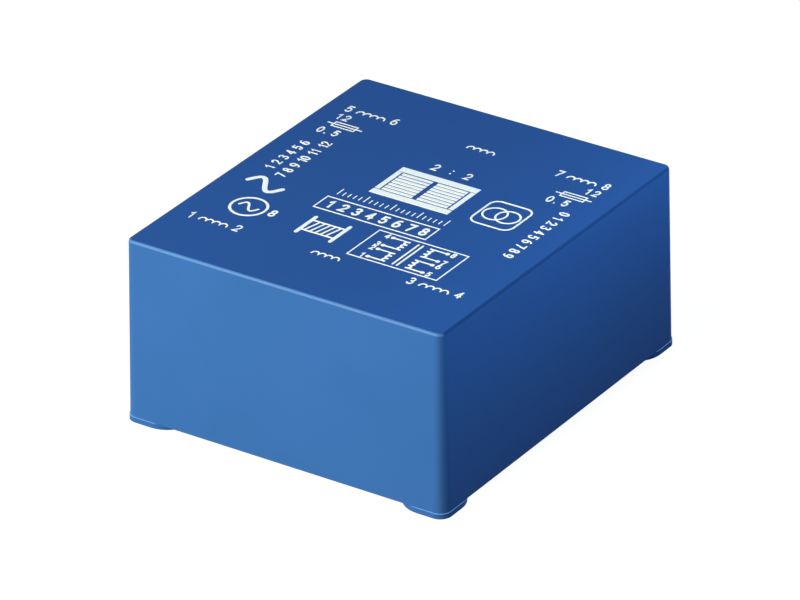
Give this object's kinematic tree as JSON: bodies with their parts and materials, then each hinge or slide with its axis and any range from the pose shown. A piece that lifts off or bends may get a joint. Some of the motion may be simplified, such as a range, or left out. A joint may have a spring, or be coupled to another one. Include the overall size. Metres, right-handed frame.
{
  "type": "pcb transformer",
  "caption": "Low-profile transformer for a printed circuit board, potted in a tapered blue case with corner feet and straight pins.",
  "frame": {"origin": "centre of the pin pattern, on the board's surface, where the four corner feet stand", "axes": "+X along the short side, +Y along the long side from the primary edge to the secondary edge, +Z away from the board"},
  "size_m": [0.0602, 0.0684, 0.0354],
  "materials": {
    "case": "semi-matte moulded",
    "resin": "cast",
    "core_sheet": "varnished",
    "bobbin": "moulded",
    "primary_wire": "enamelled copper",
    "secondary_wire": "enamelled copper",
    "tape": "film",
    "pin": "tinned",
    "solder": "solder",
    "print": "printed ink"
  },
  "bodies": {
    "root": {"case": "case", "potting_resin": "resin", "u_laminations": "core_sheet", "i_laminations": "core_sheet", "left_bobbin": "bobbin", "right_bobbin": "bobbin", "left_primary_winding": "primary_wire", "right_primary_winding": "primary_wire", "left_secondary_winding": "secondary_wire", "right_secondary_winding": "secondary_wire", "left_primary_tape": "tape", "right_primary_tape": "tape", "left_secondary_tape": "tape", "right_secondary_tape": "tape", "primary_pin_1": "pin", "primary_pin_2": "pin", "primary_pin_3": "pin", "primary_pin_4": "pin", "secondary_pin_5": "pin", "secondary_pin_6": "pin", "secondary_pin_7": "pin", "secondary_pin_8": "pin", "primary_solder_joints": "solder", "secondary_solder_joints": "solder"}
  },
  "joints": []
}
